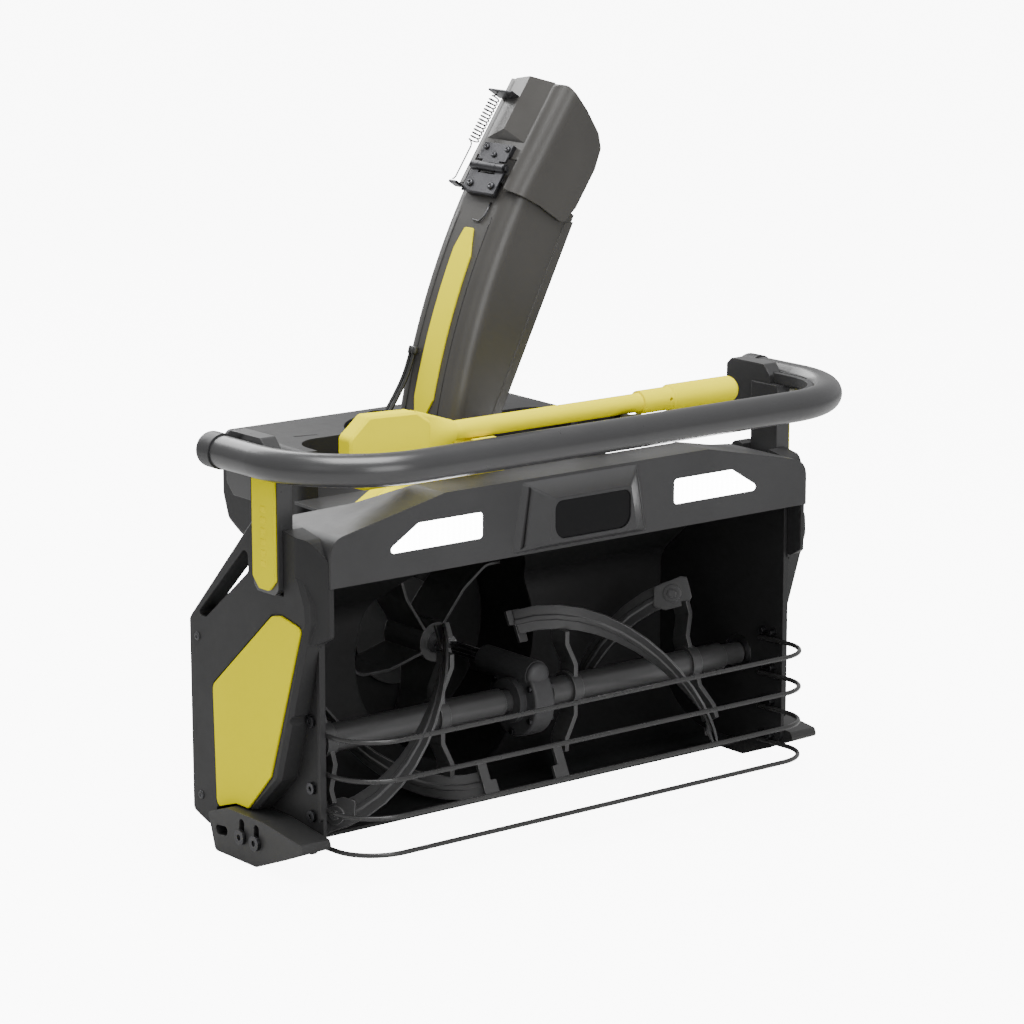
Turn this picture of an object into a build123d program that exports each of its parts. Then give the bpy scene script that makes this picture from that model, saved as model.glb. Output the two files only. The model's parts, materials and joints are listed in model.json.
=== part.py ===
from build123d import *
import math
import os

os.makedirs("parts", exist_ok=True)

# ---------------------------------------------------------------- dimensions
# Millimetres.  X to the right of a person facing the machine, Y towards the
# host vehicle, Z up.  The layout is drawn from the front edge of the side
# plates (Y = 0) and then moved so that the origin is the bottom centre.
Y_SHIFT = -131.0            # layout -> part frame
Z_SHIFT = -14.0

CLEAR_W = 610.0             # clearing width between the side plates (24 in)
XI = CLEAR_W / 2            # inner face of a side plate
T_PLATE = 4.0
XO = XI + T_PLATE
AUG_Y, AUG_Z = 72.0, 131.0  # auger shaft axis
AUG_R = 95.0                # sweep radius of the auger
SHAFT_R = 12.0
IMP_Z = 161.0               # impeller axis (31 mm above the auger axis)
DRUM_RI, DRUM_RO = 121.0, 123.5
DRUM_Y1 = 302.0
BACK_Y = 206.0              # centre line of the barrel's back wall
FLOOR_Z = 30.75
LIP_Y = 60.0                # front edge of the scraper bar
T_SHEET = 2.5
CH_Y = 232.0                # chute swivel axis
DECK_Z = 345.0
HOOD_Y = -24.0
HOOD_T = 3.0
COV_X = 332.0               # outer face of a side cover
BUMP_R = 16.5
BUMP_Z = 437.0
BUMP_Y = -77.0
BUMP_X = 356.0
BUMP_BEND = 113.0          # centre line radius of the two bends
GUARD_R = 2.5
GUARD_Y = -60.0
GUARD_Z = (160.0, 120.0, 82.0, 44.0)
PIN_X, PIN_Z = 93.0, 672.0  # deflector hinge axis (along Y)
TOOL_Y, TOOL_Z = 26.0, 441.0


# ------------------------------------------------------------------ helpers
def rpoly(pts, r=0.0):
    """Closed face with rounded corners; r is one radius or one per corner."""
    n = len(pts)
    rad = list(r) if isinstance(r, (list, tuple)) else [r] * n
    info = []
    for i in range(n):
        p0, p1, p2 = pts[i - 1], pts[i], pts[(i + 1) % n]
        a = (p0[0] - p1[0], p0[1] - p1[1])
        b = (p2[0] - p1[0], p2[1] - p1[1])
        la, lb = math.hypot(*a), math.hypot(*b)
        a = (a[0] / la, a[1] / la)
        b = (b[0] / lb, b[1] / lb)
        c = max(-1.0, min(1.0, a[0] * b[0] + a[1] * b[1]))
        th = math.acos(c)
        if rad[i] <= 0 or th > math.pi - 1e-3:
            info.append((p1, p1, p1, False))
            continue
        t = rad[i] / math.tan(th / 2)
        t = min(t, la * 0.49, lb * 0.49)
        rr = t * math.tan(th / 2)
        s = (p1[0] + a[0] * t, p1[1] + a[1] * t)
        e = (p1[0] + b[0] * t, p1[1] + b[1] * t)
        bis = (a[0] + b[0], a[1] + b[1])
        lbis = math.hypot(*bis)
        bis = (bis[0] / lbis, bis[1] / lbis)
        cd = rr / math.sin(th / 2)
        m = (p1[0] + bis[0] * (cd - rr), p1[1] + bis[1] * (cd - rr))
        info.append((s, m, e, True))
    edges = []
    for i in range(n):
        s, m, e, arc = info[i]
        if arc:
            edges.append(ThreePointArc((s[0], s[1]), (m[0], m[1]), (e[0], e[1])))
        nx = info[(i + 1) % n][0]
        if math.hypot(nx[0] - e[0], nx[1] - e[1]) > 1e-6:
            edges.append(Line((e[0], e[1]), (nx[0], nx[1])))
    return make_face(edges)


def ex_x(face, x0, x1):
    return extrude(Plane.YZ.offset(x0) * face, amount=x1 - x0)


def ex_y(face, y0, y1):
    return extrude(Plane.XZ.offset(-y1) * face, amount=y1 - y0)


def ex_z(face, z0, z1):
    return extrude(Plane.XY.offset(z0) * face, amount=z1 - z0)


def strip(pts, t, r=0.0):
    """Closed outline of a bent sheet of thickness t along an open polyline."""
    n = len(pts)
    rad = list(r) if isinstance(r, (list, tuple)) else [0] + [r] * (n - 2) + [0]
    left, right, rl, rr = [], [], [], []
    for i in range(n):
        if i == 0:
            d = (pts[1][0] - pts[0][0], pts[1][1] - pts[0][1])
        elif i == n - 1:
            d = (pts[-1][0] - pts[-2][0], pts[-1][1] - pts[-2][1])
        else:
            d1 = (pts[i][0] - pts[i - 1][0], pts[i][1] - pts[i - 1][1])
            d2 = (pts[i + 1][0] - pts[i][0], pts[i + 1][1] - pts[i][1])
            l1, l2 = math.hypot(*d1), math.hypot(*d2)
            n1 = (-d1[1] / l1, d1[0] / l1)
            n2 = (-d2[1] / l2, d2[0] / l2)
            s = (n1[0] + n2[0], n1[1] + n2[1])
            k = 2.0 / (s[0] ** 2 + s[1] ** 2)
            off = (s[0] * k * t / 2, s[1] * k * t / 2)
            left.append((pts[i][0] + off[0], pts[i][1] + off[1]))
            right.append((pts[i][0] - off[0], pts[i][1] - off[1]))
            turn = d1[0] * d2[1] - d1[1] * d2[0]
            if rad[i] > 0:
                rl.append(rad[i] - t / 2 if turn > 0 else rad[i] + t / 2)
                rr.append(rad[i] + t / 2 if turn > 0 else rad[i] - t / 2)
            else:
                rl.append(0)
                rr.append(0)
            continue
        ln = math.hypot(*d)
        nn = (-d[1] / ln, d[0] / ln)
        left.append((pts[i][0] + nn[0] * t / 2, pts[i][1] + nn[1] * t / 2))
        right.append((pts[i][0] - nn[0] * t / 2, pts[i][1] - nn[1] * t / 2))
        rl.append(0)
        rr.append(0)
    return rpoly(left + right[::-1], rl + rr[::-1])


def cyl_x(y, z, r, x0, x1):
    return Pos((x0 + x1) / 2, y, z) * Rot(0, 90, 0) * Cylinder(r, abs(x1 - x0))


def cyl_y(x, z, r, y0, y1):
    return Pos(x, (y0 + y1) / 2, z) * Rot(90, 0, 0) * Cylinder(r, abs(y1 - y0))


def cyl_z(x, y, r, z0, z1):
    return Pos(x, y, (z0 + z1) / 2) * Cylinder(r, abs(z1 - z0))


def box(x0, x1, y0, y1, z0, z1):
    return Pos((x0 + x1) / 2, (y0 + y1) / 2, (z0 + z1) / 2) * Box(x1 - x0, y1 - y0, z1 - z0)


def tube_path(pts, radii, r):
    path = FilletPolyline(*pts, radius=radii)
    d = Vector(*pts[1]) - Vector(*pts[0])
    return sweep(Plane(origin=pts[0], z_dir=d.normalized()) * Circle(r), path=path)


def group(*solids):
    out = []
    for s in solids:
        out.extend(s.solids())
    return Compound(children=[Solid(q.wrapped) for q in out])


def mirror_x(shape):
    return mirror(shape, about=Plane.YZ)


NODES = {}


def put(name, shape):
    NODES[name] = shape


# ------------------------------------------------------- side plates, barrel
plate_pts = [(0, 50), (20, 31.5), (207, 31.5), (207, 222), (122, 292.5), (100, 297), (60, 330), (0, 330)]
plate_r = [6, 8, 12, 8, 8, 8, 10, 4]


def side_plate(sign):
    p = ex_x(rpoly(plate_pts, plate_r), XI, XO)
    # rolled stiffening edge along the front of the plate
    roll = ex_x(rpoly([(0, 74), (5, 68), (5, 312), (0, 312)], 1.5), XO, XO + 3.0)
    p = p + roll
    # bore for the auger bearing
    p = p - cyl_x(AUG_Y, AUG_Z, 21.0, XI - 1, XO + 1)
    return p if sign > 0 else mirror_x(p)


put("side_plate_right", side_plate(1))
put("side_plate_left", side_plate(-1))

barrel_pts = [(26, FLOOR_Z), (BACK_Y, FLOOR_Z), (BACK_Y, 222), (122, 292), (-18, 317)]
barrel_r = [0, 98, 34, 34, 0]
barrel = ex_x(strip(barrel_pts, T_SHEET, barrel_r), -XI, XI)
# solid of everything inside the barrel's outer skin
skin_pts = [(26, FLOOR_Z - 1.25), (BACK_Y + 1.25, FLOOR_Z - 1.25), (BACK_Y + 1.25, 222.6), (122.4, 293.3), (-18, 318.3)]
skin = ex_x(rpoly(skin_pts + [(-18, 40)], [0, 99.25, 35.25, 35.25, 0, 0]), -XI - 1, XI + 1)
barrel = barrel - cyl_y(0, IMP_Z, DRUM_RI, 112, 260)
barrel = barrel - box(-XI - 1, XI + 1, -60, LIP_Y + 18, 20, 80)   # the scraper bar carries the lip
# rear stiffening rib pressed on the back of the barrel
put("auger_barrel", barrel)

drum = cyl_y(0, IMP_Z, DRUM_RO, 112, DRUM_Y1) - cyl_y(0, IMP_Z, DRUM_RI, 100, DRUM_Y1 - 3.0)
drum = drum - skin
drum = drum - cyl_y(0, IMP_Z, 24.0, DRUM_Y1 - 10, DRUM_Y1 + 5)
drum = drum - cyl_z(0, CH_Y, 50.0, 200, 340)
drum_solids = sorted(drum.solids(), key=lambda s: -s.volume)
put("impeller_drum", drum_solids[0])

duct = cyl_z(0, CH_Y, 53.0, 180, DECK_Z) - cyl_z(0, CH_Y, 50.0, 170, DECK_Z + 5)
duct = duct - cyl_y(0, IMP_Z, DRUM_RO, 130, DRUM_Y1 + 30) - skin
duct = sorted(duct.solids(), key=lambda s: -s.volume)[0]
put("discharge_duct", duct)

LY = LIP_Y
scraper = ex_x(rpoly([(LY, 32), (LY + 4, 29.5), (LY + 46, 24.5), (LY + 50, 24.5), (LY + 50, 29.5), (LY + 18, 29.5), (LY + 18, 33.2), (LY + 2, 34.2)], [0.6, 0.6, 0.6, 0.6, 0.6, 0, 0, 0.6]), -XI, XI)
for sx in (-220, -75, 75, 220):
    scraper = scraper - cyl_z(sx, LY + 34, 4.0, 20, 34)
put("scraper_bar", scraper)

# ---------------------------------------------------------------------- hood
hood_out = [(-314, 314), (-314, 362), (-173, 392), (173, 392), (314, 362), (314, 314)]
hood_r = [1, 20, 12, 12, 20, 1]
hood_in = [(-311, 300), (-311, 359.5), (-172.7, 388.9), (172.7, 388.9), (311, 359.5), (311, 300)]
hood_ri = [0, 17, 9, 9, 17, 0]
hood = ex_y(rpoly(hood_out, hood_r), HOOD_Y, 110)
hood = hood - ex_y(rpoly(hood_in, hood_ri), HOOD_Y + HOOD_T, 120)
keep = ex_z(rpoly([(-330, -40), (330, -40), (330, 104), (271, 66), (237, 44), (166, 26), (-166, 26), (-237, 44), (-271, 66), (-330, 104)], 0), 300, 420)
hood = hood & keep
hood = hood - box(-330, 330, 60, 130, 290, 322)      # side walls stop above the cover shoulder
win = [(126.5, 339), (251, 339), (207, 366), (126.5, 366)]
for s in (1, -1):
    w = ex_y(rpoly([(s * a, b) for a, b in win], 4.0), HOOD_Y - 5, HOOD_Y + 8)
    hood = hood - w
# centre nose: faceted bulge with a dark sensor window
nose = loft([
    Plane.XZ.offset(-HOOD_Y) * rpoly([(-89, 317), (89, 317), (76, 389), (-76, 389)], 3),
    Plane.XZ.offset(-(HOOD_Y - 21)) * rpoly([(-58, 326), (58, 326), (50, 373), (-50, 373)], 3),
], ruled=True)
nose_cut = loft([
    Plane.XZ.offset(-HOOD_Y - -4) * rpoly([(-84, 321), (84, 321), (72, 385), (-72, 385)], 2),
    Plane.XZ.offset(-(HOOD_Y - 18)) * rpoly([(-55, 329), (55, 329), (47, 370), (-47, 370)], 2),
], ruled=True)
hood = (hood + nose) - nose_cut
oval = rpoly([(-50, 330), (50, 330), (50, 370), (-50, 370)], [14, 14, 9, 9])
hood = hood - ex_y(oval, HOOD_Y - 30, HOOD_Y - 12)
put("hood_shell", hood.solids().sort_by(SortBy.VOLUME)[-1])

for s, nm in ((1, "right"), (-1, "left")):
    lens = ex_y(rpoly([(s * a, b) for a, b in [(126.5, 339), (251, 339), (207, 366), (126.5, 366)]], 4.0), HOOD_Y + 0.8, HOOD_Y + 3.0)
    back = ex_y(rpoly([(s * a, b) for a, b in [(121, 334), (262, 334), (212, 371), (121, 371)]], 4.0), HOOD_Y + 3.0, HOOD_Y + 15)
    put("headlight_" + nm, lens + back)
put("sensor_window", ex_y(rpoly([(-49.9, 330.1), (49.9, 330.1), (49.9, 369.9), (-49.9, 369.9)], [13.9, 13.9, 8.9, 8.9]), HOOD_Y - 19.6, HOOD_Y - 17.6)
    + ex_y(rpoly([(-52, 330.5), (52, 330.5), (46, 369), (-46, 369)], 2), HOOD_Y - 17.6, HOOD_Y - 12))

# --------------------------------------------------------------- side covers
# outline of a cover in Y, Z; the front boundary leaves the bolted strip of
# the side plate in sight
cov_out = [(203, 39), (204, 246), (86, 369), (40, 356), (4, 322), (-8, 296), (-9, 277), (44, 107), (100, 55.5), (176, 30)]
cov_r = [10, 6, 10, 20, 14, 12, 10, 10, 10, 8]
skid_room = rpoly([(160, 0), (156, 54), (119, 66.5), (54, 66.5), (-16, 59), (-22, 46), (-22, 0)], 0)


def side_cover(sign):
    c = ex_x(rpoly(cov_out, cov_r), XO, COV_X)
    c = chamfer(c.faces().sort_by(Axis.X)[-1].edges(), 4.0)
    inner = ex_x(rpoly([(198, 46), (199, 240), (170, 240), (84, 306), (62, 330), (20, 318), (4, 296), (0, 277), (50, 111), (103, 60), (176, 36)], [6, 4, 4, 8, 8, 8, 8, 8, 8, 8, 6]), XO - 1, COV_X - 3.0)
    c = c - inner
    # handle slot under the slanted bar
    slot = ex_x(rpoly([(170, 251), (92, 313), (92, 342), (186, 252)], [5, 7, 7, 5]), XO - 5, COV_X + 5)
    c = c - slot
    # shoulder that closes the corner between the cover and the hood
    sh = ex_z(rpoly([(XO, -22), (313.6, -22), (COV_X, 10), (COV_X, 58), (XO, 58)], [0, 1.5, 8, 0, 0]), 240, 372)
    sh = sh & ex_x(rpoly([(58, 300), (18, 272), (2, 256), (-6, 255), (-22, 264), (-22, 340), (-2, 360), (30, 366), (58, 364)], [0, 6, 4, 4, 4, 16, 14, 6, 0]), XO - 5, COV_X + 5)
    c = c + sh
    # bay for the yellow panel
    bay = ex_x(rpoly([(51, 278), (35, 281), (-2, 274), (55, 107), (104, 56), (156, 53), (160, 184)], [10, 6, 6, 9, 10, 8, 12]), COV_X - 1.6, COV_X + 5)
    c = c - bay
    c = c - ex_x(skid_room, XO - 5, COV_X + 5)
    # seat of the bumper post
    c = c - box(XO - 1, COV_X + 5, 30.5, 73.5, 299.5, 400)
    c = c - ex_y(rpoly(hood_out, hood_r), HOOD_Y, 110)
    c = c - box(XO - 1, XO + 3.0, -1, 5.0, 40, 315)
    c = c - cyl_x(18, 171, 8.0, XO - 1, COV_X + 5)
    c = c.solids().sort_by(SortBy.VOLUME)[-1]
    return c if sign > 0 else mirror_x(c)


put("side_cover_right", side_cover(1))
put("side_cover_left", side_cover(-1))

panel_pts = [(50, 276), (35.5, 278.7), (1, 272), (57, 109), (105, 58.5), (154, 55.5), (158, 183)]


def side_panel(sign):
    p = ex_x(rpoly(panel_pts, [10, 6, 6, 9, 10, 8, 12]), COV_X - 1.6, COV_X + 1.2)
    p = p - ex_x(skid_room, XO - 5, COV_X + 5)
    return p if sign > 0 else mirror_x(p)


put("side_panel_right", side_panel(1))
put("side_panel_left", side_panel(-1))

# button-head bolts: three on each plate
bolts = []
for z in (171, 102, 73):
    for s in (1, -1):
        b = cyl_x(18, z, 6.2, XO, XO + 3.6) - cyl_x(18, z, 2.4, XO + 1.4, XO + 4)
        bolts.append(b if s > 0 else mirror_x(b))
for sx in (-220, -75, 75, 220):
    bolts.append(cyl_z(sx, LY + 34, 4.0, 25.6, 29.5))
put("housing_bolts", group(*bolts))

# ---------------------------------------------------------------- guard wires
wires, clamps = [], []
for z in GUARD_Z:
    x1 = XI - 3.2
    pts = [(-x1, 34, z - 3), (-x1, GUARD_Y, z), (x1, GUARD_Y, z), (x1, 34, z - 3)]
    wires.append(tube_path(pts, 48.0, GUARD_R))
    for s in (1, -1):
        for y in (14, 28):
            b = cyl_x(y, z - 2.0 + 7.5, 3.6, XI - 7.5, XI)
            clamps.append(b if s > 0 else mirror_x(b))
put("guard_wires", group(*wires))
put("guard_wire_bolts", group(*clamps))

# ------------------------------------------------------------------- bumper
bx, by = BUMP_X, BUMP_Y
bump_pts = [(-bx, 101, BUMP_Z), (-bx, by, BUMP_Z), (bx, by, BUMP_Z), (bx, 101, BUMP_Z)]
outer = tube_path(bump_pts, BUMP_BEND, BUMP_R)
inner = tube_path(bump_pts, BUMP_BEND, BUMP_R - 2.5)
put("bumper_tube", outer - inner)


def end_cap(sign):
    c = cyl_y(bx, BUMP_Z, 18.2, 98, 124)
    c = fillet(c.edges().sort_by(Axis.Y)[-1], 8)
    c = c - cyl_y(bx, BUMP_Z, BUMP_R, 80, 101)
    return c if sign > 0 else mirror_x(c)


put("bumper_end_caps", group(end_cap(1), end_cap(-1)))

# flat rail along the inner side of the tube, with a groove in its top face
rail_w = 12.0
RB = BUMP_BEND
ro_pts = [(-bx + 13.5, 92), (-bx + 13.5, by + 13.5), (bx - 13.5, by + 13.5), (bx - 13.5, 92)]
ri_pts = [(bx - 27.5, 92), (bx - 27.5, by + 27.5), (-bx + 27.5, by + 27.5), (-bx + 27.5, 92)]
rail = ex_z(rpoly(ro_pts + ri_pts, [0, RB - 13.5, RB - 13.5, 0, 0, RB - 27.5, RB - 27.5, 0]), BUMP_Z - 2, BUMP_Z + 9)
groove_o = [(-bx + 18.5, 99), (-bx + 18.5, by + 18.5), (bx - 18.5, by + 18.5), (bx - 18.5, 99)]
groove_i = [(bx - 21.5, 99), (bx - 21.5, by + 21.5), (-bx + 21.5, by + 21.5), (-bx + 21.5, 99)]
rail = rail - ex_z(rpoly(groove_o + groove_i, [0, RB - 18.5, RB - 18.5, 0, 0, RB - 21.5, RB - 21.5, 0]), BUMP_Z + 6.5, BUMP_Z + 12)
rail = rail - outer
put("bumper_rail", rail.solids().sort_by(SortBy.VOLUME)[-1])


def block(sign):
    b = ex_x(rpoly([(46, 402), (46, 444), (56, 455), (108, 455), (116, 448), (116, 402), (104, 390), (74, 390), (56, 402)], [2, 3, 4, 4, 4, 6, 6, 3, 2]), 322.0, 339.9)
    b = b - outer
    b = b - NODES["bumper_rail"]
    b = b - end_cap(1) - box(337.9, 345, 30, 73.5, 380, 430)
    b = b.solids().sort_by(SortBy.VOLUME)[-1]
    return b if sign > 0 else mirror_x(b)


put("bumper_blocks", group(block(1), block(-1)))


def post(sign):
    p = ex_x(rpoly([(31, 434.5), (31, 306), (37, 300), (67, 300), (73, 306), (73, 434.5)], [0, 3, 3, 3, 3, 0]), 320.0, 338.0)
    p = p - outer
    p = p - block(1)
    p = p.solids().sort_by(SortBy.VOLUME)[-1]
    return p if sign > 0 else mirror_x(p)


put("bumper_post_right", post(1))
put("bumper_post_left", post(-1))


def post_cover(sign):
    c = ex_x(rpoly([(33, 315), (44, 304), (60, 304), (71, 315), (71, 424), (33, 424)], [3, 4, 4, 3, 1, 1]), 338.0, 341.0)
    c = c - outer
    c = c.solids().sort_by(SortBy.VOLUME)[-1]
    return c if sign > 0 else mirror_x(c)


put("post_covers", group(post_cover(1), post_cover(-1)))

# --------------------------------------------------------------- rear cover
rc_pts = [(200, 398), (200, 346), (206, 300), (232, 288), (318, 288), (344, 302), (354, 330), (354, 392), (346, 400)]
rc = ex_x(rpoly(rc_pts, [0, 2, 14, 14, 20, 14, 20, 8, 3]), -190, 190)
rc = fillet([e for e in rc.edges() if abs(abs(e.center().X) - 190) < 0.5 and e.center().Y > 215], 9)
rc_in = ex_x(rpoly([(203, 395), (203, 346), (209, 302), (233, 291), (317, 291), (341.5, 304), (351, 331), (351, 391), (345, 397)], [0, 2, 11, 11, 17, 11, 17, 6, 2]), -187, 187)


def well(g):
    """Recess around the chute; g grows it on every side."""
    w = ex_z(rpoly([(-170 - g, 150), (170 + g, 150), (170 + g, 252 + g), (-170 - g, 252 + g)], [0, 0, 34, 34]), DECK_Z + 3 - g, 420)
    w = w + cyl_z(0, CH_Y, 92.0 + g, DECK_Z + 3 - g, 420)
    return w + cyl_z(0, 318, 16.0 + g, DECK_Z + 3 - g, 420)


rc = rc - (rc_in - well(3.0)) - well(0.0)
rc = rc - cyl_z(0, CH_Y, 53.0, 270, 350)
rc = rc - cyl_z(0, 318, 6.0, 340, 350)
rc = rc - ex_z(rpoly([(-150, 268), (-124, 262), (-124, 268), (-150, 274)], 1), 398.5, 410)
put("rear_cover", rc.solids().sort_by(SortBy.VOLUME)[-1])

deck_pts = [(-262, 64), (-236, 45), (-165, 27), (165, 27), (236, 45), (262, 64), (206, 128), (189, 199), (189, 199.9), (-189, 199.9), (-189, 199), (-206, 128)]
deck = ex_z(rpoly([(-262, 66), (-237, 46), (-166, 28), (166, 28), (237, 46), (262, 66), (206, 128), (200, 199.9), (-200, 199.9), (-206, 128)], 0), DECK_Z, DECK_Z + 3)
# walls that carry the deck from the hood's back edge
deck = deck + box(-160, 160, 28, 31, DECK_Z, 388)
deck = deck - cyl_z(0, CH_Y, 50.0, 300, 400)
deck = deck + (cyl_z(0, CH_Y, 66.0, DECK_Z + 3, DECK_Z + 8) - cyl_z(0, CH_Y, 50.0, 300, 400))
put("deck_plate", deck.solids().sort_by(SortBy.VOLUME)[-1])

# ----------------------------------------------------------- rear drive unit
hp = ex_y(rpoly([(-150, 120), (-110, 60), (110, 60), (150, 120), (150, 230), (110, 284), (-110, 284), (-150, 230)], 16), 350, 355.5)
HITCH_BOLT = (180.0, 110.0, 6.6)
hc_z = 172.0
for sx in (-1, 1):
    for sz in (-1, 1):
        hp = hp - cyl_y(sx * HITCH_BOLT[0] / 2, hc_z + sz * HITCH_BOLT[1] / 2, HITCH_BOLT[2], 340, 360)
hp = hp - cyl_y(0, IMP_Z, 20.0, 340, 360)
for sx in (-1, 1):
    for sz in (-1, 1):
        hp = hp + cyl_y(sx * 84, hc_z - 11 + sz * 80, 9, DRUM_Y1, 351)
put("hitch_plate", hp.solids().sort_by(SortBy.VOLUME)[-1])

motor = cyl_y(0, IMP_Z, 46.0, DRUM_Y1 + 0.0, 350)
motor = motor - cyl_y(0, IMP_Z, 17.0, DRUM_Y1 - 1, 348)
for k in range(12):
    a = math.radians(k * 30)
    motor = motor + Pos(48 * math.sin(a), 326, IMP_Z + 48 * math.cos(a)) * Rot(0, math.degrees(a), 0) * Box(3, 40, 8)
put("drive_motor", motor)

# --------------------------------------------------------------- auger drive
case = cyl_x(AUG_Y, AUG_Z, 40.0, -13, 13)
case = fillet(case.edges().filter_by(GeomType.CIRCLE), 3)
case = case + cyl_x(AUG_Y, AUG_Z, 24.0, -21, 21)
case = case + cyl_y(0, IMP_Z, 15.0, AUG_Y - 24, AUG_Y + 62)
case = case - cyl_x(AUG_Y, AUG_Z, 30.0, -9, 9)
case = case - cyl_x(AUG_Y, AUG_Z, SHAFT_R + 0.06, -30, 30)
case = case - cyl_y(0, IMP_Z, 11.0, AUG_Y - 20, AUG_Y + 40)
case = case - cyl_y(0, IMP_Z, 7.06, AUG_Y - 20, AUG_Y + 70)
put("gearbox_case", case.solids().sort_by(SortBy.VOLUME)[-1])
gb = []
for k in range(6):
    a = math.radians(30 + 60 * k)
    y, z = AUG_Y + 34.5 * math.cos(a), AUG_Z + 34.5 * math.sin(a)
    if z > AUG_Z + 20:
        continue
    gb.append(cyl_x(y, z, 3.4, -16.0, -13.0))
    gb.append(cyl_x(y, z, 3.4, 13.0, 16.0))
put("gearbox_bolts", group(*gb))

put("worm_wheel", cyl_x(AUG_Y, AUG_Z, 21.0, -7, 7) - cyl_x(AUG_Y, AUG_Z, SHAFT_R, -8, 8))
put("auger_shaft", cyl_x(AUG_Y, AUG_Z, SHAFT_R, -XI + 1.0, XI - 1.0) + cyl_x(AUG_Y, AUG_Z, 9.0, -XO - 8, XO + 8)
    + cyl_x(AUG_Y, AUG_Z, 15.0, -276, -32) + cyl_x(AUG_Y, AUG_Z, 15.0, 32, 276))
# tubes of the flights surround the plain shaft; they show as the thicker part
bear = []
for s in (1, -1):
    b = cyl_x(AUG_Y, AUG_Z, 21.0, XI - 0.0, XO + 0.0) + cyl_x(AUG_Y, AUG_Z, 17.0, XO, XO + 10)
    b = b - cyl_x(AUG_Y, AUG_Z, 9.06, XI - 30, XO + 20)
    b = b - cyl_x(AUG_Y, AUG_Z, SHAFT_R + 0.5, XI - 22, XI + 0.6)
    bear.append(b if s > 0 else mirror_x(b))
put("auger_bearings", group(*bear))


def at_angle(x, ang, r):
    """Point at radius r and angle (0 = up, 90 = forward) about the auger."""
    a = math.radians(ang)
    return (x, AUG_Y - r * math.sin(a), AUG_Z + r * math.cos(a))


def ribbon(x0, x1, a0, a1, n=15, r0=67.0, r1=93.0, w=3.0):
    """Flight: a strip with a bead pressed along its middle on both sides."""
    prof = [(-w / 2, r0), (w / 2, r0), (w / 2, 76.5), (w, 78), (w, 82), (w / 2, 83.5), (w / 2, r1),
            (-w / 2, r1), (-w / 2, 83.5), (-w, 82), (-w, 78), (-w / 2, 76.5)]
    secs = []
    for i in range(n + 1):
        t = i / n
        x = x0 + (x1 - x0) * t
        a = a0 + (a1 - a0) * t
        # section in the radial / axial plane
        secs.append(make_face(Polyline(*[at_angle(x + dx, a, r) for dx, r in prof], close=True)))
    return loft(secs, ruled=True)


# each flight starts ahead of its inner arm and ends just past its outer arm
A_START, A_OUT, A_END = -26.0, 157.0, 163.0
XR_START, XR_OUT = 20.0, 243.0
XL_START, XL_OUT = -74.0, -270.0
PITCH_R = (XR_OUT - XR_START) / (A_OUT - A_START)     # mm per degree
PITCH_L = (XL_OUT - XL_START) / (A_OUT - A_START)
XR_IN = XR_START - A_START * PITCH_R                  # where each passes the top
XL_IN = XL_START - A_START * PITCH_L
ARM_R = 66.9


def arm(x, s, lean=0.0):
    """Cranked flat bar round the shaft; x is where its two tips stand."""
    t = 5.0
    xm = x + s * 12
    pts = [(x, AUG_Z - ARM_R), (x, AUG_Z - 52), (xm, AUG_Z - 28), (xm, AUG_Z + 28), (x, AUG_Z + 52), (x, AUG_Z + ARM_R)]
    b = ex_y(strip(pts, t, 6), AUG_Y - 12, AUG_Y + 12)
    b = b + cyl_x(AUG_Y, AUG_Z, 19.0, xm - 6, xm + 6)
    b = b & cyl_x(AUG_Y, AUG_Z, ARM_R, x - 40, x + 40)
    b = b - cyl_x(AUG_Y, AUG_Z, 15.0, x - 40, x + 40)
    return b.rotate(Axis((0, AUG_Y, AUG_Z), (1, 0, 0)), lean)


LEAN = A_OUT - 180.0
arms = [arm(XR_IN, 1), arm(XL_IN, -1), arm(XR_OUT, -1, LEAN), arm(XL_OUT, 1, LEAN)]


def helix_plane(x, ang, r, pitch, out=1.0):
    """Plane lying in the flight at (x, ang): x along the helix, y outwards."""
    a = math.radians(ang)
    o = Vector(*at_angle(x, ang, r))
    u = Vector(0, -math.sin(a), math.cos(a))
    t = Vector(0, -math.cos(a), -math.sin(a))
    h = (Vector(math.degrees(pitch), 0, 0) + t * r).normalized()
    n = h.cross(u)
    return Plane(origin=o, x_dir=h, z_dir=n)


def end_flange(x, ang, pitch):
    """Bolted end of a flight: wide plate, big washer and bolt head."""
    pl = helix_plane(x, ang, 79.0, pitch)
    plate = extrude(pl.offset(1.7) * rpoly([(-30, -10), (-18, -17), (8, -17), (14, -10), (14, 12), (8, 15), (-24, 11)], 3), amount=2.6)
    return plate + extrude(pl.offset(4.3) * Pos(-6, -1) * Circle(9.5), amount=2.0) + extrude(pl.offset(6.3) * Pos(-6, -1) * RegularPolygon(5.0, 6), amount=3.0)


def tooth(x, ang, s):
    """L-shaped cutting tooth across the leading end of a flight."""
    a = math.radians(ang)
    o = Vector(*at_angle(x, ang, 80.0))
    t = Vector(0, math.cos(a), math.sin(a))
    pl = Plane(origin=o, x_dir=(1, 0, 0), z_dir=t)
    u = Vector(0, -math.sin(a), math.cos(a))
    k = 1.0 if pl.y_dir.dot(u) > 0 else -1.0
    pts = [(-s * 9, k * 14), (s * 9, k * 14), (s * 9, -k * 22), (-s * 2, -k * 22), (-s * 2, -k * 2), (-s * 9, -k * 2)]
    if s * k < 0:
        pts = pts[::-1]
    return extrude(pl.offset(0.6) * rpoly(pts, 1.5), amount=4.0)


plates = []
for x, pitch in ((XR_OUT, PITCH_R), (XL_OUT, PITCH_L)):
    for a in (A_OUT, A_OUT + 180.0):
        plates.append(end_flange(x, a, pitch))
for x, s in ((XR_START, 1), (XL_START, -1)):
    for a in (A_START, A_START + 180.0):
        plates.append(tooth(x, a, s))


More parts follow.
